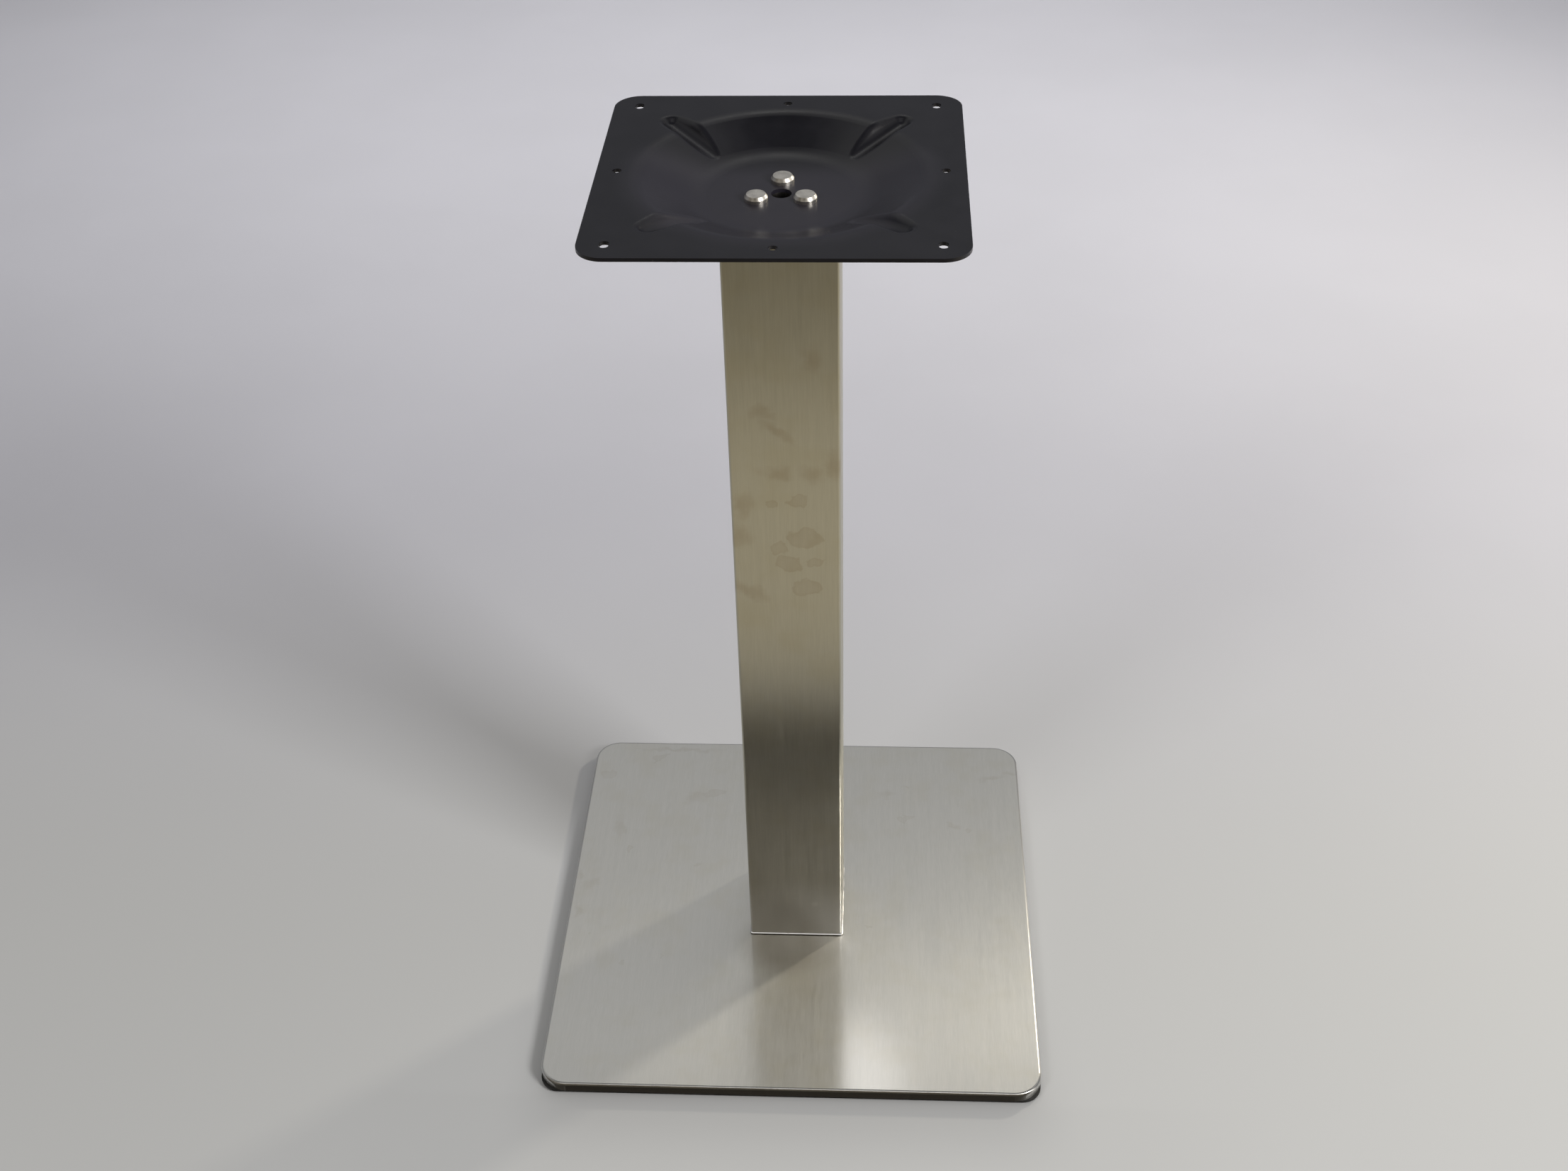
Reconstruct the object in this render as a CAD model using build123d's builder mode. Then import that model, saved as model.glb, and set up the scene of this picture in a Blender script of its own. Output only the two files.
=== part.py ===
# Bistro table base: a square column between a weighted square base and a pressed top plate.
# Millimetres. Origin on the floor under the column's axis, +Z up, the front faces -Y.

import math
import os

from build123d import *

os.makedirs("parts", exist_ok=True)

# Overall sizes
TOTAL_H = 700.0
BASE_SIDE = 400.0
BASE_TOP_Z = 12.0
COLUMN_SIDE = 78.0
PLATE_SIDE = 240.0

# Base cover: thin pan with a rounded top edge and a short skirt
COVER_T = 1.2
COVER_CORNER_R = 22.0
COVER_EDGE_R = 2.2
COVER_BOTTOM_Z = 4.0
COVER_HOLE_R = 4.6

# Ballast plate: the block inside the cover, on a flange that shows under the skirt
BALLAST_BOTTOM_Z = 1.6
BALLAST_FLANGE_TOP_Z = 3.9
BALLAST_FLANGE_SIDE = 399.0
BALLAST_FLANGE_CORNER_R = 15.0
BALLAST_SIDE_GAP = 0.2
BALLAST_EDGE_R = 0.7
BALLAST_HOLE_R = 4.5

# Levelling feet, one near each corner
FOOT_XY = 165.0
FOOT_PAD_R = 13.0
FOOT_PAD_TOP_Z = 4.0
FOOT_PAD_SOCKET_Z = 2.0
FOOT_PAD_EDGE_R = 1.0
FOOT_STEM_R = 4.0
FOOT_STEM_TOP_Z = 10.2
FOOT_STEM_CHAMFER = 0.6
FOOT_THREAD_R = 4.35
FOOT_RECESS_R = 14.0
FOOT_RECESS_TOP_Z = 4.1

# Column tube and the two plates welded inside its ends
COLUMN_WALL = 1.5
COLUMN_CORNER_R = 2.0
HEAD_PLATE_T = 6.0
FOOT_PLATE_T = 8.0
WELD_PLATE_SIDE = COLUMN_SIDE - 2 * COLUMN_WALL
WELD_PLATE_CORNER_R = 1.0
THREAD_GAP = 0.05

# Screws from below, through ballast and cover, into the foot plate
FOOT_SCREW_XY = 24.0
FOOT_SCREW_R = 4.0
FOOT_SCREW_HEAD_R = 7.6
FOOT_SCREW_HEAD_Z = 1.9
FOOT_SCREW_NECK_Z = 5.5
FOOT_SCREW_TIP_Z = 19.0
FOOT_SCREW_DRIVE_ACROSS = 5.0
FOOT_SCREW_DRIVE_DEPTH = 2.6
FOOT_SCREW_SEAT_GAP = 0.08

# Top plate: pressed sheet with a round dish and four diagonal grooves
SHEET_T = 2.5
PLATE_CORNER_R = 18.0
DISH_DEPTH = 16.0
DISH_FLOOR_R = 57.0
DISH_RIM_R = 94.5
DISH_RIM_MARGIN = 12.0
RIM_FILLET_R = 22.0
BOWL_FILLET_R = 40.0
GROOVE_R = 8.0
GROOVE_TIP_R = 110.0
GROOVE_TIP_DEPTH = 4.2
GROOVE_END_R = 66.0
GROOVE_END_DEPTH = 12.9
GROOVE_FILLET_R = 6.0
SEAM_TURN = 20.0

# Holes in the top plate
FIX_HOLE_R = 3.0
CORNER_SLOT_LENGTH = 8.6
CORNER_HOLE_SPACING = 205.0
EDGE_HOLE_CIRCLE_R = 106.5
CENTRE_HOLE_R = 6.8

# Bolts that hold the top plate to the head plate, in a triangle with one at the back
BOLT_CIRCLE_R = 18.5
BOLT_R = 4.0
BOLT_HOLE_R = 4.5
BOLT_HEAD_R = 7.7
BOLT_FLAT_R = 6.3
BOLT_SIDE_H = 2.2
BOLT_HEAD_H = 4.4
BOLT_LENGTH = 12.0

DISH_FLOOR_Z = TOTAL_H - DISH_DEPTH
COLUMN_TOP_Z = DISH_FLOOR_Z - SHEET_T
HEAD_PLATE_Z = COLUMN_TOP_Z - HEAD_PLATE_T
CORNERS = {
    "front_left": (-1, -1),
    "front_right": (1, -1),
    "back_right": (1, 1),
    "back_left": (-1, 1),
}
BOLT_TURNS = {"back": 90.0, "left": 210.0, "right": 330.0}


def on_circle(radius, turn):
    return radius * math.cos(math.radians(turn)), radius * math.sin(math.radians(turn))


def dish_corners(drop):
    # Corners of the dish's section from its floor to the flange, lowered by drop along the sheet's normal.
    corners = [(DISH_FLOOR_R, -DISH_DEPTH), (DISH_RIM_R, 0.0)]
    wall = math.atan2(DISH_DEPTH, DISH_RIM_R - DISH_FLOOR_R)
    slopes = [0.0, wall, 0.0]
    lowered = []
    for i, (r, z) in enumerate(corners):
        a = slopes[i]
        b = slopes[i + 1]
        k = drop / (1 + math.cos(b - a))
        r_low = r + k * (math.sin(a) + math.sin(b))
        z_low = TOTAL_H + z - k * (math.cos(a) + math.cos(b))
        lowered.append((r_low, z_low))
    return lowered


def dish_section(drop, top_z):
    # Half section of the dish, filled up to top_z, with its bends rounded.
    floor, rim = dish_corners(drop)
    outer = DISH_RIM_R + DISH_RIM_MARGIN
    outline = Polyline((0, floor[1]), floor, rim, (outer, rim[1]), (outer, top_z), (0, top_z), close=True)
    half = Face(Wire(outline.edges()))
    bends = ((floor, BOWL_FILLET_R + drop), (rim, RIM_FILLET_R - drop))
    for (r, z), radius in bends:
        corner = half.vertices().sort_by_distance((r, z, 0))[0]
        half = half.fillet_2d(radius, [corner])
    return half.rotate(Axis.X, 90).rotate(Axis.Z, SEAM_TURN)


def groove_bar(radius):
    # A round-ended bar along the diagonal that dips towards the dish.
    direction = Vector(1, 0, 0).rotate(Axis.Z, 45)
    tip = direction * GROOVE_TIP_R + Vector(0, 0, TOTAL_H - GROOVE_TIP_DEPTH + GROOVE_R)
    end = direction * GROOVE_END_R + Vector(0, 0, TOTAL_H - GROOVE_END_DEPTH + GROOVE_R)
    run = end - tip
    bar = Solid.make_cylinder(radius, run.length, Plane(origin=tip, z_dir=run))
    near = Solid.make_sphere(radius, Plane(origin=tip, z_dir=run), angle1=-90, angle2=90)
    far = Solid.make_sphere(radius, Plane(origin=end, z_dir=run), angle1=-90, angle2=90)
    return bar.fuse(near, far)


def groove_crest(part):
    # The edges where one groove meets the dish and the flange.
    found = {}
    for face in part.faces().filter_by(lambda f: f.geom_type in (GeomType.CYLINDER, GeomType.SPHERE)):
        if abs(face.radius - GROOVE_R) > 0.01:
            continue
        for edge in face.edges():
            middle = edge.position_at(0.5)
            key = (round(middle.X, 2), round(middle.Y, 2), round(middle.Z, 2))
            found.setdefault(key, []).append(edge)
    return [edges[0] for edges in found.values() if len(edges) == 1]


sheet_under = dish_section(SHEET_T, TOTAL_H)
sheet_over = dish_section(0.0, TOTAL_H + GROOVE_R)
groove_skin = groove_bar(GROOVE_R + SHEET_T)
groove_hollow = groove_bar(GROOVE_R)

# One quarter of the pressed sheet, with its groove's edges rounded
with BuildPart() as plate_quarter:
    with BuildSketch(Plane.XY.offset(TOTAL_H - SHEET_T)):
        RectangleRounded(PLATE_SIDE, PLATE_SIDE, PLATE_CORNER_R)
    extrude(amount=SHEET_T)
    revolve(sheet_under, axis=Axis.Z)
    add(groove_skin)
    add(groove_hollow, mode=Mode.SUBTRACT)
    revolve(sheet_over, axis=Axis.Z, mode=Mode.SUBTRACT)
    with BuildSketch(Plane.XY.offset(TOTAL_H)):
        Rectangle(PLATE_SIDE, PLATE_SIDE)
    extrude(amount=2 * GROOVE_R + GROOVE_TIP_R, mode=Mode.SUBTRACT)
    with BuildSketch(Plane.XY.offset(DISH_FLOOR_Z - 2 * SHEET_T)):
        Rectangle(PLATE_SIDE, PLATE_SIDE, align=(Align.MIN, Align.MIN))
    extrude(amount=DISH_DEPTH + 3 * SHEET_T, mode=Mode.INTERSECT)
    fillet(groove_crest(plate_quarter.part), radius=GROOVE_FILLET_R)

quarter = plate_quarter.part.solids()[0]
three_more = [quarter.rotate(Axis.Z, 90 * k) for k in (1, 2, 3)]
pressed_sheet = quarter.fuse(*three_more)

# Top plate: the pressed sheet with its fixing, bolt and centre holes
with BuildPart() as top_plate:
    add(pressed_sheet)
    with BuildSketch(Plane.XY.offset(TOTAL_H - SHEET_T)):
        with GridLocations(CORNER_HOLE_SPACING, CORNER_HOLE_SPACING, 2, 2):
            SlotOverall(CORNER_SLOT_LENGTH, 2 * FIX_HOLE_R, rotation=90)
        with PolarLocations(EDGE_HOLE_CIRCLE_R, 4):
            Circle(FIX_HOLE_R)
    extrude(amount=SHEET_T, mode=Mode.SUBTRACT)
    with BuildSketch(Plane.XY.offset(COLUMN_TOP_Z)):
        Circle(CENTRE_HOLE_R)
        with Locations(*[on_circle(BOLT_CIRCLE_R, turn) for turn in BOLT_TURNS.values()]):
            Circle(BOLT_HOLE_R)
    extrude(amount=SHEET_T, mode=Mode.SUBTRACT)
top_plate.part.label = "top_plate"
export_step(top_plate.part, "parts/top_plate.step")

# Plate bolts: low head with a bevelled edge, plain shank
for name, turn in BOLT_TURNS.items():
    with BuildPart() as plate_bolt:
        with BuildSketch(Plane.XZ):
            with BuildLine():
                Polyline(
                    (0, -BOLT_LENGTH),
                    (BOLT_R - 0.8, -BOLT_LENGTH),
                    (BOLT_R, -BOLT_LENGTH + 0.8),
                    (BOLT_R, 0),
                    (BOLT_HEAD_R, 0),
                    (BOLT_HEAD_R, BOLT_SIDE_H),
                    (BOLT_FLAT_R, BOLT_HEAD_H),
                    (0, BOLT_HEAD_H),
                    close=True,
                )
            make_face()
        revolve(axis=Axis.Z)
        bevel = plate_bolt.edges().filter_by(GeomType.CIRCLE).group_by(Axis.Z)
        fillet(bevel[-1] + bevel[-2], radius=0.5)
    x, y = on_circle(BOLT_CIRCLE_R, turn)
    placed_bolt = plate_bolt.part.moved(Location((x, y, DISH_FLOOR_Z)))
    placed_bolt.label = f"plate_bolt_{name}"
    export_step(placed_bolt, f"parts/plate_bolt_{name}.step")

# Column: square tube
with BuildPart() as column_tube:
    with BuildSketch(Plane.XY.offset(BASE_TOP_Z)):
        RectangleRounded(COLUMN_SIDE, COLUMN_SIDE, COLUMN_CORNER_R)
        RectangleRounded(WELD_PLATE_SIDE, WELD_PLATE_SIDE, WELD_PLATE_CORNER_R, mode=Mode.SUBTRACT)
    extrude(amount=COLUMN_TOP_Z - BASE_TOP_Z)
column_tube.part.label = "column_tube"
export_step(column_tube.part, "parts/column_tube.step")

# Head plate: closes the tube's top, three threads and the centre hole
with BuildPart() as head_plate:
    with BuildSketch(Plane.XY.offset(HEAD_PLATE_Z)):
        RectangleRounded(WELD_PLATE_SIDE, WELD_PLATE_SIDE, WELD_PLATE_CORNER_R)
        Circle(CENTRE_HOLE_R, mode=Mode.SUBTRACT)
        with Locations(*[on_circle(BOLT_CIRCLE_R, turn) for turn in BOLT_TURNS.values()]):
            Circle(BOLT_R + THREAD_GAP, mode=Mode.SUBTRACT)
    extrude(amount=HEAD_PLATE_T)
head_plate.part.label = "column_head_plate"
export_step(head_plate.part, "parts/column_head_plate.step")

# Foot plate: closes the tube's bottom, four threads
with BuildPart() as foot_plate:
    with BuildSketch(Plane.XY.offset(BASE_TOP_Z)):
        RectangleRounded(WELD_PLATE_SIDE, WELD_PLATE_SIDE, WELD_PLATE_CORNER_R)
        with GridLocations(2 * FOOT_SCREW_XY, 2 * FOOT_SCREW_XY, 2, 2):
            Circle(FOOT_SCREW_R + THREAD_GAP, mode=Mode.SUBTRACT)
    extrude(amount=FOOT_PLATE_T)
foot_plate.part.label = "column_foot_plate"
export_step(foot_plate.part, "parts/column_foot_plate.step")

# Base cover: pan with a rounded edge, open below
with BuildPart() as base_cover:
    with BuildSketch(Plane.XY.offset(COVER_BOTTOM_Z)):
        RectangleRounded(BASE_SIDE, BASE_SIDE, COVER_CORNER_R)
    extrude(amount=BASE_TOP_Z - COVER_BOTTOM_Z)
    fillet(base_cover.faces().sort_by(Axis.Z)[-1].edges(), radius=COVER_EDGE_R)
    offset(amount=-COVER_T, openings=base_cover.faces().sort_by(Axis.Z)[0])
    with BuildSketch(Plane.XY.offset(BASE_TOP_Z - COVER_T)):
        with GridLocations(2 * FOOT_SCREW_XY, 2 * FOOT_SCREW_XY, 2, 2):
            Circle(COVER_HOLE_R)
    extrude(amount=COVER_T, mode=Mode.SUBTRACT)
base_cover.part.label = "base_cover"
export_step(base_cover.part, "parts/base_cover.step")

# Ballast plate: flange, block, recesses for the feet and countersinks for the screws
BLOCK_SIDE = BASE_SIDE - 2 * COVER_T - 2 * BALLAST_SIDE_GAP
BLOCK_CORNER_R = COVER_CORNER_R - COVER_T - BALLAST_SIDE_GAP
BLOCK_TOP_Z = BASE_TOP_Z - COVER_T
with BuildPart() as ballast_plate:
    with BuildSketch(Plane.XY.offset(BALLAST_BOTTOM_Z)):
        RectangleRounded(BALLAST_FLANGE_SIDE, BALLAST_FLANGE_SIDE, BALLAST_FLANGE_CORNER_R)
    extrude(amount=BALLAST_FLANGE_TOP_Z - BALLAST_BOTTOM_Z)
    fillet(ballast_plate.edges().group_by(Axis.Z)[0], radius=BALLAST_EDGE_R)
    with BuildSketch(Plane.XY.offset(BALLAST_FLANGE_TOP_Z)):
        RectangleRounded(BLOCK_SIDE, BLOCK_SIDE, BLOCK_CORNER_R)
    extrude(amount=BLOCK_TOP_Z - BALLAST_FLANGE_TOP_Z)
    chamfer(ballast_plate.edges().group_by(Axis.Z)[-1], length=COVER_EDGE_R - COVER_T / 2)
    with BuildSketch(Plane.XY.offset(BALLAST_BOTTOM_Z)):
        with GridLocations(2 * FOOT_XY, 2 * FOOT_XY, 2, 2):
            Circle(FOOT_RECESS_R)
    extrude(amount=FOOT_RECESS_TOP_Z - BALLAST_BOTTOM_Z, mode=Mode.SUBTRACT)
    with BuildSketch(Plane.XY.offset(FOOT_RECESS_TOP_Z)):
        with GridLocations(2 * FOOT_XY, 2 * FOOT_XY, 2, 2):
            Circle(FOOT_THREAD_R)
    extrude(amount=BLOCK_TOP_Z - FOOT_RECESS_TOP_Z, mode=Mode.SUBTRACT)
    with BuildSketch(Plane.XY.offset(BALLAST_BOTTOM_Z)):
        with GridLocations(2 * FOOT_SCREW_XY, 2 * FOOT_SCREW_XY, 2, 2):
            Circle(BALLAST_HOLE_R)
    extrude(amount=BLOCK_TOP_Z - BALLAST_BOTTOM_Z, mode=Mode.SUBTRACT)
    with Locations((0, 0, BALLAST_BOTTOM_Z)):
        with GridLocations(2 * FOOT_SCREW_XY, 2 * FOOT_SCREW_XY, 2, 2):
            Cylinder(
                FOOT_SCREW_HEAD_R + FOOT_SCREW_SEAT_GAP,
                FOOT_SCREW_HEAD_Z - BALLAST_BOTTOM_Z,
                align=(Align.CENTER, Align.CENTER, Align.MIN),
                mode=Mode.SUBTRACT,
            )
    with Locations((0, 0, FOOT_SCREW_HEAD_Z)):
        with GridLocations(2 * FOOT_SCREW_XY, 2 * FOOT_SCREW_XY, 2, 2):
            Cone(
                FOOT_SCREW_HEAD_R + FOOT_SCREW_SEAT_GAP,
                FOOT_SCREW_R + FOOT_SCREW_SEAT_GAP,
                FOOT_SCREW_NECK_Z - FOOT_SCREW_HEAD_Z,
                align=(Align.CENTER, Align.CENTER, Align.MIN),
                mode=Mode.SUBTRACT,
            )
ballast_plate.part.label = "ballast_plate"
export_step(ballast_plate.part, "parts/ballast_plate.step")

# Foot screws: countersunk head with a hexagon socket, one near each corner of the column
with BuildPart() as foot_screw:
    with BuildSketch(Plane.XZ):
        with BuildLine():
            Polyline(
                (0, FOOT_SCREW_HEAD_Z),
                (FOOT_SCREW_HEAD_R, FOOT_SCREW_HEAD_Z),
                (FOOT_SCREW_R, FOOT_SCREW_NECK_Z),
                (FOOT_SCREW_R, FOOT_SCREW_TIP_Z - 0.8),
                (FOOT_SCREW_R - 0.8, FOOT_SCREW_TIP_Z),
                (0, FOOT_SCREW_TIP_Z),
                close=True,
            )
        make_face()
    revolve(axis=Axis.Z)
    with BuildSketch(Plane.XY.offset(FOOT_SCREW_HEAD_Z)):
        RegularPolygon(FOOT_SCREW_DRIVE_ACROSS / 2, 6, major_radius=False)
    extrude(amount=FOOT_SCREW_DRIVE_DEPTH, mode=Mode.SUBTRACT)
for name, (sx, sy) in CORNERS.items():
    placed_screw = foot_screw.part.moved(Location((sx * FOOT_SCREW_XY, sy * FOOT_SCREW_XY, 0)))
    placed_screw.label = f"foot_screw_{name}"
    export_step(placed_screw, f"parts/foot_screw_{name}.step")

# Levelling foot: the threaded stem
with BuildPart() as foot_stem:
    with BuildSketch(Plane.XY.offset(FOOT_PAD_SOCKET_Z)):
        Circle(FOOT_STEM_R)
    extrude(amount=FOOT_STEM_TOP_Z - FOOT_PAD_SOCKET_Z)
    chamfer(foot_stem.edges().filter_by(GeomType.CIRCLE).group_by(Axis.Z)[-1], length=FOOT_STEM_CHAMFER)

# Levelling foot: the round pad, with the socket that holds the stem
with BuildPart() as foot_pad:
    with BuildSketch(Plane.XY):
        Circle(FOOT_PAD_R)
    extrude(amount=FOOT_PAD_TOP_Z)
    rims = foot_pad.edges().filter_by(GeomType.CIRCLE).group_by(Axis.Z)
    fillet(rims[0], radius=FOOT_PAD_EDGE_R)
    chamfer(foot_pad.edges().filter_by(GeomType.CIRCLE).group_by(Axis.Z)[-1], length=FOOT_PAD_EDGE_R / 2)
    with BuildSketch(Plane.XY.offset(FOOT_PAD_SOCKET_Z)):
        Circle(FOOT_STEM_R + THREAD_GAP)
    extrude(amount=FOOT_PAD_TOP_Z - FOOT_PAD_SOCKET_Z, mode=Mode.SUBTRACT)

for name, (sx, sy) in CORNERS.items():
    corner = Location((sx * FOOT_XY, sy * FOOT_XY, 0))
    placed_stem = foot_stem.part.moved(corner)
    placed_stem.label = f"foot_stem_{name}"
    export_step(placed_stem, f"parts/foot_stem_{name}.step")
    placed_pad = foot_pad.part.moved(corner)
    placed_pad.label = f"foot_pad_{name}"
    export_step(placed_pad, f"parts/foot_pad_{name}.step")
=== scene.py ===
# %% [markdown]
# # A bistro table base, finished round its CAD frame
#
# The object is a pedestal that carries a table top: a heavy square foot with a
# brushed steel cover, a square brushed steel column, and a pressed black plate
# that is screwed under the table top. Its shapes come from a CAD model that is
# loaded first and never moved. This notebook adds the camera, the floor, the
# light, one small shape that CAD left out, and the finishes.

import math

import bmesh
import bpy
from mathutils import Matrix, Vector


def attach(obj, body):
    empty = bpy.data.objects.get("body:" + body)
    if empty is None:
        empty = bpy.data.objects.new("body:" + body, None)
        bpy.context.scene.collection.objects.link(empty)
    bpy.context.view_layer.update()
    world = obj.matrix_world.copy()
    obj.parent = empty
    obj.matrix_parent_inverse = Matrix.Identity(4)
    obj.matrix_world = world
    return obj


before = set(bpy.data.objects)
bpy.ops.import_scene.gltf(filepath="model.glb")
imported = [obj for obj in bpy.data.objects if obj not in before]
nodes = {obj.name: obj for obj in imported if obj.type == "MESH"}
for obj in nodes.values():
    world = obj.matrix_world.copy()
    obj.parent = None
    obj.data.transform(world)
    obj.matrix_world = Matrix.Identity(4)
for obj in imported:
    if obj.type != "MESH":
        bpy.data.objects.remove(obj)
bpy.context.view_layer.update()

# %% [markdown]
# ## The camera
#
# The photograph was taken from in front and above, at about chest height. A
# camera can be placed by hand until its picture fits, or solved from points
# whose real place is known. Here it was solved from the corners of the foot,
# the column and the top plate, so its place and its three directions are
# numbers that are simply set. The focal length is in millimetres, as is the
# width of the sensor.

# %% Camera from the solved view
CAMERA_PLACE = Vector((0.06233, -1.10038, 1.21656))
CAMERA_RIGHT = Vector((0.99877276, 0.04477151, -0.0211773))
CAMERA_UP = Vector((-0.01076011, 0.61352673, 0.78960064))
CAMERA_BACK = Vector((0.04834445, -0.78840375, 0.61325553))
FOCAL_LENGTH = 42.2
SENSOR_WIDTH = 36

camera = bpy.data.objects.new("camera", bpy.data.cameras.new("camera"))
bpy.context.scene.collection.objects.link(camera)
turn = Matrix((CAMERA_RIGHT, CAMERA_UP, CAMERA_BACK)).transposed().to_4x4()
camera.matrix_world = Matrix.Translation(CAMERA_PLACE) @ turn
camera.data.lens = FOCAL_LENGTH
camera.data.sensor_width = SENSOR_WIDTH
camera.data.clip_start = 0.01
bpy.context.scene.camera = camera
bpy.context.scene.view_settings.view_transform = "Standard"
print("camera looks down by", round(math.degrees(math.asin(CAMERA_BACK.z)), 1), "degrees")

# %% [markdown]
# ## Small helpers
#
# A procedural material is a little network of nodes. Writing every node out by
# hand takes three or four lines each, so one helper makes a node, fills its
# sockets with plain values, and links the sockets that are given another
# node's output. The other helpers are the few nodes that come back often, and
# the four lines that turn a finished bmesh into an object.

# %% Make one node, or one of the usual ones
def add_node(tree, kind, sockets=(), **settings):
    """Adds a node. Each (name, value) in sockets is set, or linked if it is an output."""
    made = tree.nodes.new(kind)
    for name, value in settings.items():
        setattr(made, name, value)
    for name, value in sockets:
        if isinstance(value, bpy.types.NodeSocket):
            tree.links.new(value, made.inputs[name])
        else:
            made.inputs[name].default_value = value
    return made


def calculate(tree, operation, first, second=0.0):
    """The result of one Math node."""
    return add_node(tree, "ShaderNodeMath", [(0, first), (1, second)], operation=operation).outputs[0]


def vector_math(tree, operation, *values):
    """The outputs of one Vector Math node."""
    return add_node(tree, "ShaderNodeVectorMath", list(enumerate(values)), operation=operation).outputs


def axes(tree, place):
    """The X, Y and Z outputs of a place or a direction."""
    return add_node(tree, "ShaderNodeSeparateXYZ", [("Vector", place)]).outputs


def fade(tree, value, start, end, low=0.0, high=1.0):
    """Goes smoothly from low to high while value goes from start to end."""
    sockets = [("Value", value), ("From Min", start), ("From Max", end), ("To Min", low), ("To Max", high)]
    return add_node(tree, "ShaderNodeMapRange", sockets, interpolation_type="SMOOTHSTEP").outputs["Result"]


def mix_colour(tree, amount, first, second):
    """The colour between first and second, by amount."""
    sockets = [(0, amount), (6, first), (7, second)]
    return add_node(tree, "ShaderNodeMix", data_type="RGBA", sockets=sockets).outputs[2]


def noise(tree, place, scale, detail=2.0, roughness=0.5):
    """A Noise Texture's value, about 0.5 on average."""
    sockets = [("Vector", place), ("Scale", scale), ("Detail", detail), ("Roughness", roughness)]
    return add_node(tree, "ShaderNodeTexNoise", sockets).outputs[0]


def grey(level, warm=0.0):
    """A colour of that level. Warm above 0 takes some blue out, below 0 some red."""
    return (level * (1 + 0.3 * warm), level * (1 + 0.1 * warm), level * (1 - warm), 1.0)


# %% Start a material, and make an object of a bmesh
def start_material(name, **values):
    """A new material with plain values on its shader: (material, tree, shader, object coordinates)."""
    material = bpy.data.materials.new(name)
    material.use_nodes = True
    tree = material.node_tree
    shader = tree.nodes["Principled BSDF"]
    for socket, value in values.items():
        shader.inputs[socket.replace("_", " ")].default_value = value
    place = add_node(tree, "ShaderNodeTexCoord").outputs["Object"]
    return material, tree, shader, place


def object_from(shape, name):
    """Turns a bmesh into an object of that name and puts it in the scene."""
    mesh = bpy.data.meshes.new(name)
    shape.to_mesh(mesh)
    shape.free()
    made = bpy.data.objects.new(name, mesh)
    bpy.context.scene.collection.objects.link(made)
    return made


# %% [markdown]
# ## The floor
#
# The pedestal stands on a smooth pale grey floor with a touch of violet. One large flat sheet is enough,
# because the photograph shows no horizon. It gets a faint mottled tone of its own so that it isn't one flat
# colour, with a painted cool tint far back that turns plainer near the foot. Right in front of the foot its
# colour is painted a little darker: a painted soft contact shadow.
#
# Far in front, and only in mirror images, its colour is painted slowly darker and warmer: painted shade of the
# room in front, which the steel mirrors. The Light Path node tells a ray that comes straight from the camera,
# and such a ray sees the pale floor everywhere. Past anything that the main view shows, the floor glows a
# little for such rays and so runs over into the pale background, as a studio's paper sweep does.

# %% Floor sheet and its finish
FLOOR_HALF = 9.0
FAR_TONES = (0.615, 0.622, 0.688, 1), (0.64, 0.647, 0.716, 1)
NEAR_TONE = (0.655, 0.665, 0.67, 1)
WARM_FRONT_PAINTED_SHADE = (0.62, 0.575, 0.46, 1)
DARK_FRONT_PAINTED_SHADE = (0.22, 0.20, 0.15, 1)
CONTACT_PAINTED_SHADOW = (0.30, 0.30, 0.31, 1)
SWEEP_START, SWEEP_END = 2.75, 4.3

shape = bmesh.new()
bmesh.ops.create_grid(shape, x_segments=1, y_segments=1, size=FLOOR_HALF)
floor = object_from(shape, "floor")

material, tree, shader, place = start_material("pale_floor", Roughness=0.6)
parts = axes(tree, place)
depth = parts["Y"]
mottle = noise(tree, place, 2.5, 3.0)
pale = mix_colour(tree, fade(tree, mottle, 0.3, 0.7), *FAR_TONES)
# Painted cool tint: the far floor keeps the cooler violet tones and the near floor turns plainer.
pale = mix_colour(tree, fade(tree, depth, 0.7, -0.1), pale, NEAR_TONE)
# Painted shade, seen only in mirror images: the far front floor is darker and warmer.
mirrored_painted_shade = mix_colour(tree, fade(tree, depth, -0.30, -0.45), pale, WARM_FRONT_PAINTED_SHADE)
mirrored_painted_shade = mix_colour(tree, fade(tree, depth, -0.70, -1.15), mirrored_painted_shade, DARK_FRONT_PAINTED_SHADE)
seen_straight = add_node(tree, "ShaderNodeLightPath").outputs["Is Camera Ray"]
shown = mix_colour(tree, seen_straight, mirrored_painted_shade, pale)

# Painted contact shadow: the floor's colour is darkened right in front of the foot.
beside = fade(tree, calculate(tree, "ABSOLUTE", parts["X"]), 0.24, 0.16)
in_front = fade(tree, depth, -0.275, -0.20, 0.0, 0.30)
not_behind = fade(tree, depth, 0.0, -0.19)
painted_contact_shadow = calculate(tree, "MULTIPLY", beside, calculate(tree, "MULTIPLY", in_front, not_behind))
tree.links.new(mix_colour(tree, painted_contact_shadow, shown, CONTACT_PAINTED_SHADOW), shader.inputs["Base Color"])

from_object = vector_math(tree, "LENGTH", place)["Value"]
glow = calculate(tree, "MULTIPLY", seen_straight, fade(tree, from_object, SWEEP_START, SWEEP_END))
tree.links.new(glow, shader.inputs["Emission Strength"])
shader.inputs["Emission Color"].default_value = grey(0.42, -0.03)
floor.data.materials.append(material)
print("floor is", 2 * FLOOR_HALF, "m square")

# %% [markdown]
# Shiny steel needs something dark to mirror, or it looks flat. Photographers
# put a black card, called a flag, next to it. Here a flag lies on the floor in
# front of the foot. Only mirror images may see it, so it throws no shadow and
# no view shows the card itself. Its sides and its far edge fade to clear,
# because a hard edge would show as a line in the column.

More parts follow.
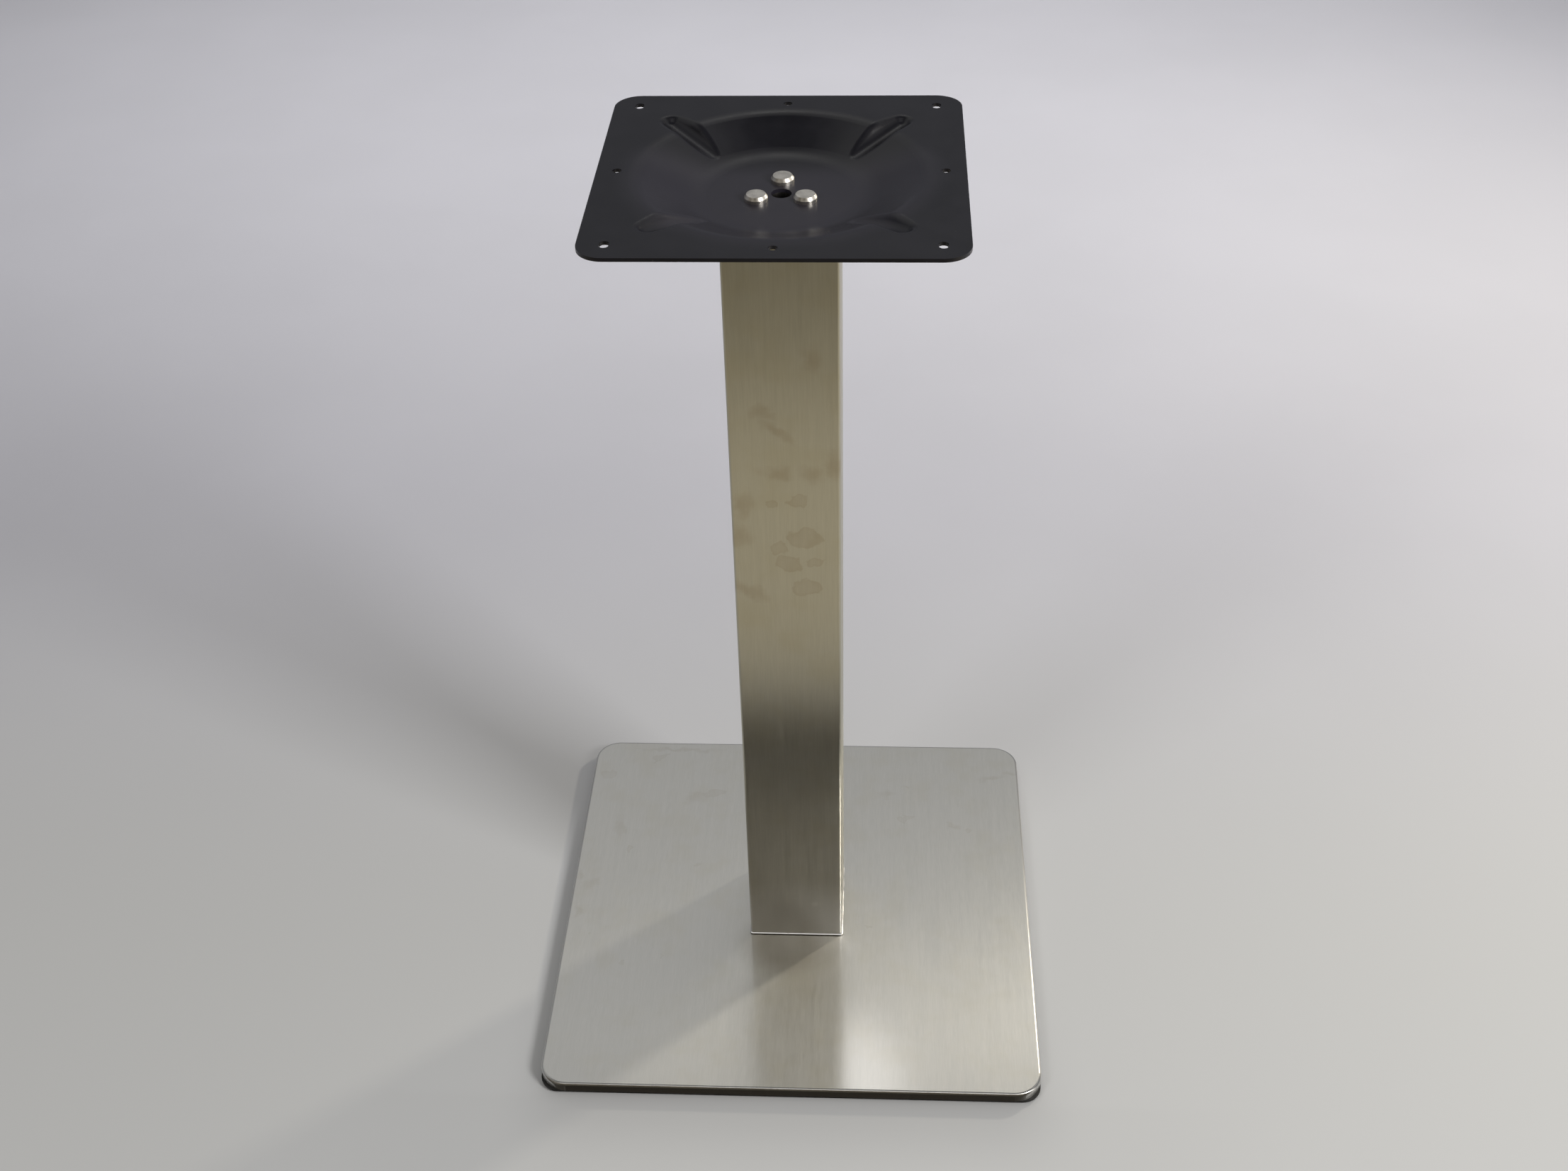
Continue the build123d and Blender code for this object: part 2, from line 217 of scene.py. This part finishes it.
# %% A black flag that only the steel sees
# The flag is a dark sheet that stands in for shade in front of the foot: it puts a painted dark reflection into
# the steel.
FLAG_WIDE, FLAG_DEEP = 0.8, 0.195
FLAG_START = -0.2005
FLAG_LIFT = 0.001
FLAG_SIDES_FADE = 0.4, 0.25
FLAG_FAR_FADE = -0.395, -0.30

shape = bmesh.new()
bmesh.ops.create_grid(shape, x_segments=1, y_segments=1, size=0.5)
bmesh.ops.scale(shape, vec=(FLAG_WIDE, FLAG_DEEP, 1), verts=shape.verts)
bmesh.ops.translate(shape, vec=(0, FLAG_START - FLAG_DEEP / 2, FLAG_LIFT), verts=shape.verts)
flag = object_from(shape, "flag")
flag.visible_camera = flag.visible_shadow = flag.visible_diffuse = False

material, tree, shader, place = start_material("shade_flag_card", Roughness=0.9)
shader.inputs["Base Color"].default_value = (0.03, 0.025, 0.018, 1)
parts = axes(tree, place)
sides = fade(tree, calculate(tree, "ABSOLUTE", parts["X"]), *FLAG_SIDES_FADE)
far_edge = fade(tree, parts["Y"], *FLAG_FAR_FADE)
tree.links.new(calculate(tree, "MULTIPLY", sides, far_edge), shader.inputs["Alpha"])
flag.data.materials.append(material)
print("flag:", FLAG_WIDE, "by", FLAG_DEEP, "m")

# %% [markdown]
# ## The light
#
# Brushed steel shows little of its own colour: it shows the room, smeared
# across the grain. So the room matters as much as the lamps. The world is a
# soft grey that is darker low down and straight above, and darkest in front,
# where the photographer stands. Only a strip of the front's ceiling is bright.
# Straight from the camera the world is a plain pale grey.

# %% World
DARK_ROOM_FRONT = (0.075, 0.062, 0.042, 1)
PALE_BACKGROUND = grey(0.50, -0.03)

world = bpy.data.worlds.new("room")
bpy.context.scene.world = world
world.use_nodes = True
tree = world.node_tree
parts = axes(tree, add_node(tree, "ShaderNodeTexCoord").outputs["Generated"])
height, toward_back = parts["Z"], parts["Y"]
back_wall = mix_colour(tree, fade(tree, height, 0.44, 0.66), grey(0.19, -0.08), grey(0.53, 0.02))
back_wall = mix_colour(tree, fade(tree, height, 0.83, 0.90), back_wall, grey(0.05))
front_wall = mix_colour(tree, fade(tree, height, 0.90, 0.98), DARK_ROOM_FRONT, grey(1.1))
room = mix_colour(tree, fade(tree, toward_back, -0.35, 0.15), front_wall, back_wall)
seen_straight = add_node(tree, "ShaderNodeLightPath").outputs["Is Camera Ray"]
seen = mix_colour(tree, seen_straight, room, PALE_BACKGROUND)
tree.links.new(seen, tree.nodes["Background"].inputs["Color"])
print("world has", len(tree.nodes), "nodes")

# %% [markdown]
# The lamps are soft boxes, as in a studio. Their places were read from the
# picture: the column's shadows on the foot and on the floor each point back to
# a lamp, and the bright patch at the front of the foot is one lamp's mirror
# image. A small lamp gives a crisp shadow edge, a large one a soft shadow. One
# lamp only fills the shadows and is hidden from mirror images, and a long one
# behind, turned to a narrow beam, lights the floor there.

# %% Lamps
def soft_box(name, place, aim, size, watts, colour):
    """A square area lamp at place that faces aim."""
    lamp = bpy.data.lights.new(name, "AREA")
    lamp.shape = "SQUARE"
    lamp.size = size
    lamp.energy = watts
    lamp.color = colour
    holder = bpy.data.objects.new(name, lamp)
    bpy.context.scene.collection.objects.link(holder)
    holder.location = place
    holder.rotation_mode = "QUATERNION"
    holder.rotation_quaternion = (Vector(aim) - Vector(place)).to_track_quat("-Z", "Y")
    holder.visible_camera = False
    return holder


WARM_WHITE = (1.0, 0.92, 0.76)
PLAIN_WHITE = (1.0, 0.98, 0.96)
FOOT_TOP = (0, 0, 0.05)
LOW_COLUMN = (0, 0, 0.2)

soft_box("lamp_back_right", (1.50, 1.25, 1.12), FOOT_TOP, 0.14, 9.6, WARM_WHITE)
behind = soft_box("lamp_behind", (0.002, 1.608, 2.40), FOOT_TOP, 0.29, 0.44, PLAIN_WHITE)
behind.data.shape = "DISK"
soft_box("lamp_front_right", (2.0, -1.45, 1.95), LOW_COLUMN, 0.8, 50, PLAIN_WHITE)
fill = soft_box("lamp_front_left", (-1.7, -1.9, 2.2), LOW_COLUMN, 0.8, 15, PLAIN_WHITE)
fill.visible_glossy = False
soft_box("lamp_front_high", (-1.1, -1.5, 2.4), LOW_COLUMN, 0.6, 1.2, PLAIN_WHITE)
backdrop = soft_box("lamp_backdrop", (-0.1, 1.3, 2.6), (-0.1, 2.05, 0), 3.0, 11.5, PLAIN_WHITE)
backdrop.data.shape = "RECTANGLE"
backdrop.data.size_y = 1.0
backdrop.data.spread = math.radians(78)

# %% [markdown]
# ## Marks on the steel
#
# The foot's cover and the column carry faint brown marks where drops have
# dried. A mark is an ellipse with a place, a size and a tilt. A Mapping node
# of the texture kind turns a place into the mark's own space, where the
# distance to its centre is 1 on its edge, so one Minimum after the other finds
# the nearest mark. The places are first shaken by a noise, so that no edge is
# a clean ellipse.

# %% Distance to a mark
SHAKE = 0.016


def mark_distance(tree, place, mark):
    """Distance to one mark's centre, as a part of the mark's own size. A mark is (centre, half sizes, tilt)."""
    centre, half_sizes, tilt = mark
    sockets = [("Vector", place), ("Location", centre), ("Rotation", tilt), ("Scale", half_sizes)]
    local = add_node(tree, "ShaderNodeMapping", sockets, vector_type="TEXTURE").outputs[0]
    return vector_math(tree, "LENGTH", local)["Value"]


def nearest_mark(tree, place, marks):
    """Distance to the nearest of the marks, with their outlines shaken by a noise."""
    sockets = [("Vector", place), ("Scale", 95.0), ("Detail", 2.5)]
    wobble = add_node(tree, "ShaderNodeTexNoise", sockets).outputs["Color"]
    centred = vector_math(tree, "SUBTRACT", wobble, (0.5, 0.5, 0.5))[0]
    shaken = vector_math(tree, "MULTIPLY_ADD", centred, (SHAKE, SHAKE, SHAKE), place)[0]
    nearest = mark_distance(tree, shaken, marks[0])
    for mark in marks[1:]:
        nearest = calculate(tree, "MINIMUM", nearest, mark_distance(tree, shaken, mark))
    return nearest


print("marks are shaken by up to", 1000 * SHAKE / 2, "mm")

# %% [markdown]
# ## Brushed steel
#
# Brushed steel is sanded in one direction. Each fine scratch spreads light
# across itself, so a mirror image is smeared sideways over the grain and stays
# sharper along it. The shader's Anisotropic value does that, and its Tangent
# must lie across the grain. The tangent is worked out from the surface's
# normal and the grain's direction, so it is right on every face. Two noises,
# stretched along the grain, vary the colour and the roughness and cut shallow
# scratches with a Bump node. A dried mark is drawn a little darker along its
# edge, as a dried drop's edge is, and a faded one is soft all over.

# %% Brushed steel with water marks
TARNISH = (0.90, 0.86, 0.74)


def tinted(colour, tint):
    """The colour times a tint of three parts, never above 1."""
    return tuple(min(1.0, part * by) for part, by in zip(colour, tint)) + (1.0,)


def grain_pattern(tree, place, stretch):
    """Fine and broad streaks along the grain, added up to about 0.5 on average."""
    along = add_node(tree, "ShaderNodeMapping", [("Vector", place), ("Scale", stretch)]).outputs[0]
    fine = calculate(tree, "MULTIPLY", noise(tree, along, 1500.0, 2.0, 0.6), 0.6)
    broad = calculate(tree, "MULTIPLY", noise(tree, along, 260.0, 3.0, 0.55), 0.4)
    return calculate(tree, "ADD", fine, broad)


def stains(tree, place, dried, faded):
    """How strongly the marks show: drops with a darker rim, and softer old ones."""
    away = nearest_mark(tree, place, dried)
    drop = fade(tree, away, 1.12, 0.95, 0.0, 0.17)
    rim = calculate(tree, "MULTIPLY", fade(tree, away, 0.6, 0.95, 0.0, 0.07), fade(tree, away, 1.12, 1.0))
    soft = fade(tree, nearest_mark(tree, place, faded), 1.5, 0.2, 0.0, 0.28)
    both = calculate(tree, "MAXIMUM", calculate(tree, "ADD", drop, rim), soft)
    patchy = fade(tree, noise(tree, place, 70.0, 2.0), 0.3, 0.7, 0.7, 1.0)
    return calculate(tree, "MULTIPLY", both, patchy)


def brushed_steel(name, colour, grain, stretch, dried, faded, mark_colour, sheen, patches):
    """Steel brushed along grain. Sheen adds a sharper gloss, and a patch is (mark, amount, colour): painted
    shade, painted light or a paler spot.
    """
    values = dict(Metallic=1.0, Anisotropic=0.9, Coat_Weight=sheen, Coat_Roughness=0.12, Coat_IOR=2.4)
    material, tree, shader, place = start_material(name, **values)
    streaks = grain_pattern(tree, place, stretch)
    dark = tinted(colour, (0.95, 0.95, 0.95))
    light = tinted(colour, (1.04, 1.04, 1.04))
    steel = mix_colour(tree, fade(tree, streaks, 0.3, 0.7), dark, light)
    steel = mix_colour(tree, fade(tree, noise(tree, place, 11.0, 3.0), 0.35, 0.75, 0.0, 0.10), steel, dark)
    dull = fade(tree, noise(tree, place, 38.0, 2.5), 0.42, 0.75, 0.0, 0.3)
    steel = mix_colour(tree, dull, steel, tinted(colour, TARNISH))
    stain = stains(tree, place, dried, faded)
    steel = mix_colour(tree, stain, steel, mark_colour)
    # Patches paint shade or light into the colour; one is only a small paler spot.
    for mark, amount, patch_colour in patches:
        spread = fade(tree, mark_distance(tree, place, mark), 1.3, 0.4, 0.0, amount)
        steel = mix_colour(tree, spread, steel, patch_colour)
    tree.links.new(steel, shader.inputs["Base Color"])
    rough = fade(tree, streaks, 0.3, 0.7, 0.30, 0.35)
    rough = calculate(tree, "ADD", rough, calculate(tree, "MULTIPLY", stain, 0.1))
    tree.links.new(rough, shader.inputs["Roughness"])
    sockets = [("Strength", 0.13), ("Distance", 0.00002), ("Height", streaks)]
    tree.links.new(add_node(tree, "ShaderNodeBump", sockets).outputs["Normal"], shader.inputs["Normal"])
    surface = add_node(tree, "ShaderNodeNewGeometry").outputs["Normal"]
    tree.links.new(vector_math(tree, "CROSS_PRODUCT", grain, surface)[0], shader.inputs["Tangent"])
    print(name, "has", len(dried) + len(faded), "marks and", len(tree.nodes), "nodes")
    return material


# %% [markdown]
# The places of the marks were read from the photograph, in millimetres. Those on the cover are thin in height
# and those on the column thin in depth, so that they stay on the top and on the front face. The cover is
# painted darker right before the column, as painted shade and a painted dark reflection of the column. The
# column has one small paler spot, and its lowest part is painted paler, as a painted reflection: those three
# are patches.

# %% Marks in millimetres, and the two brushed finishes
def flat_mark(x, y, half_width, half_depth, turned):
    """A mark on the foot's top, turned by that many degrees."""
    half_sizes = (half_width / 1000, half_depth / 1000, 0.006)
    return (x / 1000, y / 1000, 0.012), half_sizes, (0, 0, math.radians(turned))


def upright_mark(x, z, half_width, half_height, turned):
    """A mark on the column's front, turned by that many degrees."""
    half_sizes = (half_width / 1000, 0.012, half_height / 1000)
    return (x / 1000, -0.039, z / 1000), half_sizes, (0, math.radians(turned), 0)


COVER_DRIED = [
    (-139, 178, 7, 4, 30), (-186, 155, 8, 5, 0), (-84, 131, 12, 4, 10), (-155, 59, 2.5, 5, 20),
    (-92, 40, 2, 2, 0), (-178, -41, 1, 1.4, 0), (-147, -73, 1, 3.5, 15), (-113, -68, 0.8, 2, 10),
    (94, 102, 7, 4, 10), (150, 87, 4, 2.4, 0), (62, -28, 2.2, 2.2, 0),
]
COVER_FADED = [
    (-120, 190, 36, 2.2, 0), (-100, 125, 9, 8, 20), (-166, 84, 4, 16, 8), (-184, 17, 9, 5, 15),
    (-196, 26, 3, 5, 0), (-193, -18, 3, 5, 10), (76, 133, 7, 6, 20), (95, 144, 4, 2, 0),
    (138, 93, 5, 3.5, 20), (176, 157, 12, 3, 12), (192, 164, 5, 3, 0),
]
COLUMN_DRIED = [
    (13, 434, 13, 8, 6), (-6, 424, 6, 5, -30), (1, 411, 11, 7, 12), (20, 413, 5, 5, -20),
    (14, 389, 9, 7, 0), (-10, 463, 6, 4, 0), (10, 466, 7, 6, 0),
]
COLUMN_FADED = [
    (20, 582, 7, 11, 0), (-6, 524, 14, 4, 40), (-15, 540, 9, 5, 0), (-6, 491, 11, 6, 0),
    (19, 489, 8, 7, 10), (35, 497, 7, 12, 0), (-35, 436, 9, 10, 0), (-28, 385, 16, 6, 25),
    (-30, 462, 6, 12, 0),
]
# Painted shade: the cover is darkened right before the column, where its shadow and dark mirror image fall.
COVER_PAINTED_SHADE = [(flat_mark(-8, -52, 40, 34, 0), 0.7, (0.20, 0.18, 0.13, 1))]
# The first patch is a small paler spot. The second is painted light: the column's lowest part is painted paler,
# as a painted reflection.
COLUMN_SPOT_AND_PAINTED_LIGHT = [
    (upright_mark(16, 50, 3.2, 3.2, 0), 0.5, (0.84, 0.82, 0.76, 1)),
    (upright_mark(0, 8, 90, 60, 0), 0.8, (0.88, 0.87, 0.83, 1)),
]

cover_steel = brushed_steel(
    "brushed_cover", (0.56, 0.555, 0.53), (0.02, 1.0, 0.03), (1.0, 0.045, 1.0),
    [flat_mark(*row) for row in COVER_DRIED], [flat_mark(*row) for row in COVER_FADED],
    (0.38, 0.33, 0.25, 1), 1.0, COVER_PAINTED_SHADE,
)
# The column is one steel with the cover; its warmer colour is a painted warm tint of the light that it mirrors.
column_steel = brushed_steel(
    "brushed_column", (0.57, 0.55, 0.47), (0.02, 0.03, 1.0), (1.0, 1.0, 0.035),
    [upright_mark(*row) for row in COLUMN_DRIED], [upright_mark(*row) for row in COLUMN_FADED],
    (0.32, 0.22, 0.11, 1), 0.0, COLUMN_SPOT_AND_PAINTED_LIGHT,
)

# %% [markdown]
# ## The black pressed plate
#
# The plate under the table top is sheet steel with a smooth, half-gloss black coat. A coat like that is never
# quite flat: it has a fine orange-peel texture. The near half of the dish is painted a little paler, a painted
# reflection, and some specks of dust have settled on it. The dust is a Voronoi texture of which only the very
# middle of some cells is used.

# %% Black coat with dust
def dust(tree, place, scale, size, share):
    """1 on small round specks, 0 elsewhere. Share is the part of the cells that has a speck."""
    cells = add_node(tree, "ShaderNodeTexVoronoi", [("Vector", place), ("Scale", scale)])
    speck = fade(tree, cells.outputs["Distance"], size, size * 0.6)
    chance = add_node(tree, "ShaderNodeSeparateColor", [("Color", cells.outputs["Color"])]).outputs["Red"]
    return calculate(tree, "MULTIPLY", speck, calculate(tree, "LESS_THAN", chance, share))


COAT_TONES = (0.0027, 0.0025, 0.0058, 1), (0.0050, 0.0047, 0.0092, 1)
DISH_PAINTED_REFLECTION = (0.023, 0.0212, 0.0305, 1)
DUST_COLOUR = (0.55, 0.55, 0.56, 1)

black_sheet, tree, shader, place = start_material("black_sheet", IOR=1.5)
cloud = noise(tree, place, 34.0, 4.0, 0.55)
coat = mix_colour(tree, fade(tree, cloud, 0.35, 0.7), *COAT_TONES)
parts = axes(tree, place)
flat_place = add_node(tree, "ShaderNodeCombineXYZ", [("X", parts["X"]), ("Y", parts["Y"])]).outputs[0]
# Painted reflection: the near half of the dish is coloured paler.
in_dish = fade(tree, vector_math(tree, "LENGTH", flat_place)["Value"], 0.112, 0.085)
near_half = fade(tree, parts["Y"], 0.05, 0.02)
coat = mix_colour(tree, calculate(tree, "MULTIPLY", in_dish, near_half), coat, DISH_PAINTED_REFLECTION)
fine_dust = calculate(tree, "MULTIPLY", dust(tree, place, 210.0, 0.04, 0.12), 0.35)
specks = calculate(tree, "MAXIMUM", fine_dust, dust(tree, place, 60.0, 0.024, 0.09))
tree.links.new(mix_colour(tree, specks, coat, DUST_COLOUR), shader.inputs["Base Color"])
tree.links.new(fade(tree, cloud, 0.3, 0.75, 0.28, 0.36), shader.inputs["Roughness"])
peel = noise(tree, place, 620.0, 2.0, 0.5)
bump = add_node(tree, "ShaderNodeBump", [("Strength", 0.18), ("Distance", 0.0001), ("Height", peel)])
tree.links.new(bump.outputs["Normal"], shader.inputs["Normal"])
print(black_sheet.name, "has", len(tree.nodes), "nodes")

# %% [markdown]
# ## The small metal parts
#
# The three bolts in the dish are plated bright and a little warm. The screws
# and the levelling stems are zinc plated, which is duller and bluish. The two
# welded plates inside the column are plain rolled steel, the weight under the
# cover is cast iron with a black coat, and the levelling feet end in black
# moulded pads. Each finish is a noise or two that vary the colour and the
# roughness, and a bump of the right grain size.

# %% Plated, plain, cast and moulded finishes
def plain_finish(name, low, high, rough, scale, bump_scale, bump_size, **values):
    """A finish whose colour and roughness drift between two ends, with a grainy surface."""
    material, tree, shader, place = start_material(name, **values)
    drift = noise(tree, place, scale, 4.0, 0.6)
    grain = noise(tree, place, bump_scale, 2.0, 0.6)
    mostly_drift = calculate(tree, "MULTIPLY", drift, 0.7)
    mixed = calculate(tree, "ADD", mostly_drift, calculate(tree, "MULTIPLY", grain, 0.3))
    colour = mix_colour(tree, fade(tree, mixed, 0.35, 0.65), low, high)
    tree.links.new(colour, shader.inputs["Base Color"])
    tree.links.new(fade(tree, drift, 0.3, 0.7, *rough), shader.inputs["Roughness"])
    sockets = [("Strength", 0.5), ("Distance", bump_size), ("Height", grain)]
    tree.links.new(add_node(tree, "ShaderNodeBump", sockets).outputs["Normal"], shader.inputs["Normal"])
    print(name, "has", len(tree.nodes), "nodes")
    return material


bright_bolt = plain_finish(
    "bright_bolt", (0.70, 0.67, 0.61, 1), (0.88, 0.85, 0.79, 1), (0.34, 0.44),
    160.0, 1400.0, 0.00002, Metallic=1.0,
)
zinc_screw = plain_finish(
    "zinc_screw", (0.42, 0.43, 0.45, 1), (0.62, 0.64, 0.66, 1), (0.28, 0.42),
    220.0, 1600.0, 0.00003, Metallic=1.0,
)
plain_steel = plain_finish(
    "plain_steel", (0.22, 0.21, 0.20, 1), (0.38, 0.37, 0.355, 1), (0.35, 0.55),
    45.0, 700.0, 0.00006, Metallic=1.0,
)
black_iron = plain_finish(
    "black_iron", (0.008, 0.008, 0.008, 1), (0.022, 0.021, 0.020, 1), (0.45, 0.65), 60.0, 420.0, 0.0004
)
black_pad = plain_finish(
    "black_pad", (0.012, 0.012, 0.013, 1), (0.024, 0.024, 0.025, 1), (0.5, 0.62), 90.0, 1500.0, 0.00008
)

# %% [markdown]
# A CAD node's mesh stays as it is, but its material slots may be filled. The
# big parts are named one by one, and the many small ones are told by how their
# names begin.

# %% Put each finish on its CAD nodes
FINISHES = {
    "top_plate": black_sheet, "column_tube": column_steel, "base_cover": cover_steel,
    "column_head_plate": plain_steel, "column_foot_plate": plain_steel, "ballast_plate": black_iron,
}
for name, part in nodes.items():
    if name in FINISHES:
        finish = FINISHES[name]
    elif name.startswith("plate_bolt"):
        finish = bright_bolt
    elif name.startswith("foot_pad"):
        finish = black_pad
    else:
        finish = zinc_screw
    for slot in part.material_slots:
        slot.material = finish
    print(name, "->", finish.name)

# %% [markdown]
# ## The column's bright foot edge
#
# Where the column meets the cover, its cut end stands out as one thin bright
# line with a small nick in it. It is about a millimetre wide, so CAD left it
# out. It could be a swept profile, but four corners are enough to start: the
# corners are rounded, the outline is inset to make a ring, the ring is raised,
# and its top is sloped outwards. The slope is what makes it shine: it is
# turned so that the camera sees the bright ceiling in it. A narrow gap below
# the ring gives the thin dark line under the bright one.

# %% Ring round the column's foot
EDGE_HALF = 0.0399
EDGE_CORNER = 0.0024
EDGE_WIDE = 0.0012
EDGE_BOTTOM = 0.0126
EDGE_HIGH = 0.0003
EDGE_SLOPE = 0.48
NICK_X = -0.0076
NICK_HALF = 0.0007
NICK_DEEP = 0.0003

shape = bmesh.new()
bmesh.ops.create_grid(shape, x_segments=1, y_segments=1, size=EDGE_HALF)
bmesh.ops.bevel(
    shape, geom=list(shape.verts), offset=EDGE_CORNER, segments=5,
    profile=0.5, affect="VERTICES", material=-1,
)
bmesh.ops.inset_region(
    shape, faces=list(shape.faces), thickness=EDGE_WIDE, use_boundary=True, use_even_offset=True
)
middle = max(shape.faces, key=lambda face: face.calc_area())
bmesh.ops.delete(shape, geom=[middle], context="FACES")
for cut in (NICK_X - NICK_HALF, NICK_X, NICK_X + NICK_HALF):
    whole = list(shape.verts) + list(shape.edges) + list(shape.faces)
    bmesh.ops.bisect_plane(shape, geom=whole, plane_co=(cut, 0, 0), plane_no=(1, 0, 0))
bmesh.ops.translate(shape, vec=(0, 0, EDGE_BOTTOM), verts=shape.verts)

raised = bmesh.ops.extrude_face_region(shape, geom=list(shape.faces))
top = [item for item in raised["geom"] if isinstance(item, bmesh.types.BMVert)]
bmesh.ops.translate(shape, vec=(0, 0, EDGE_HIGH), verts=top)
for vert in top:
    vert.co.z += EDGE_SLOPE * (EDGE_HALF - max(abs(vert.co.x), abs(vert.co.y)))
bmesh.ops.recalc_face_normals(shape, faces=shape.faces)
nick = [v for v in top if abs(v.co.x - NICK_X) < 0.0001 and v.co.y < 0]
bmesh.ops.translate(shape, vec=(0, NICK_DEEP / 3, -NICK_DEEP), verts=nick)

# %% Soften the ring's upper outer edge and give it a finish
outer_limit = EDGE_HALF - 0.0004
upper_edges = [
    edge for edge in shape.edges
    if all(v in top for v in edge.verts) and len(edge.link_faces) == 2
    and any(abs(face.normal.z) < 0.5 for face in edge.link_faces)
    and max(abs(part) for v in edge.verts for part in v.co[:2]) > outer_limit
]
bmesh.ops.bevel(
    shape, geom=upper_edges, offset=0.00012, segments=2, profile=0.5, affect="EDGES", material=-1
)
foot_edge = object_from(shape, "column_foot_edge")
foot_edge.data.materials.append(plain_finish(
    "bright_edge", (0.80, 0.79, 0.76, 1), (0.93, 0.92, 0.89, 1), (0.12, 0.20),
    120.0, 1800.0, 0.00002, Metallic=1.0,
))
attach(foot_edge, "base")
print("foot edge:", len(foot_edge.data.polygons), "faces")
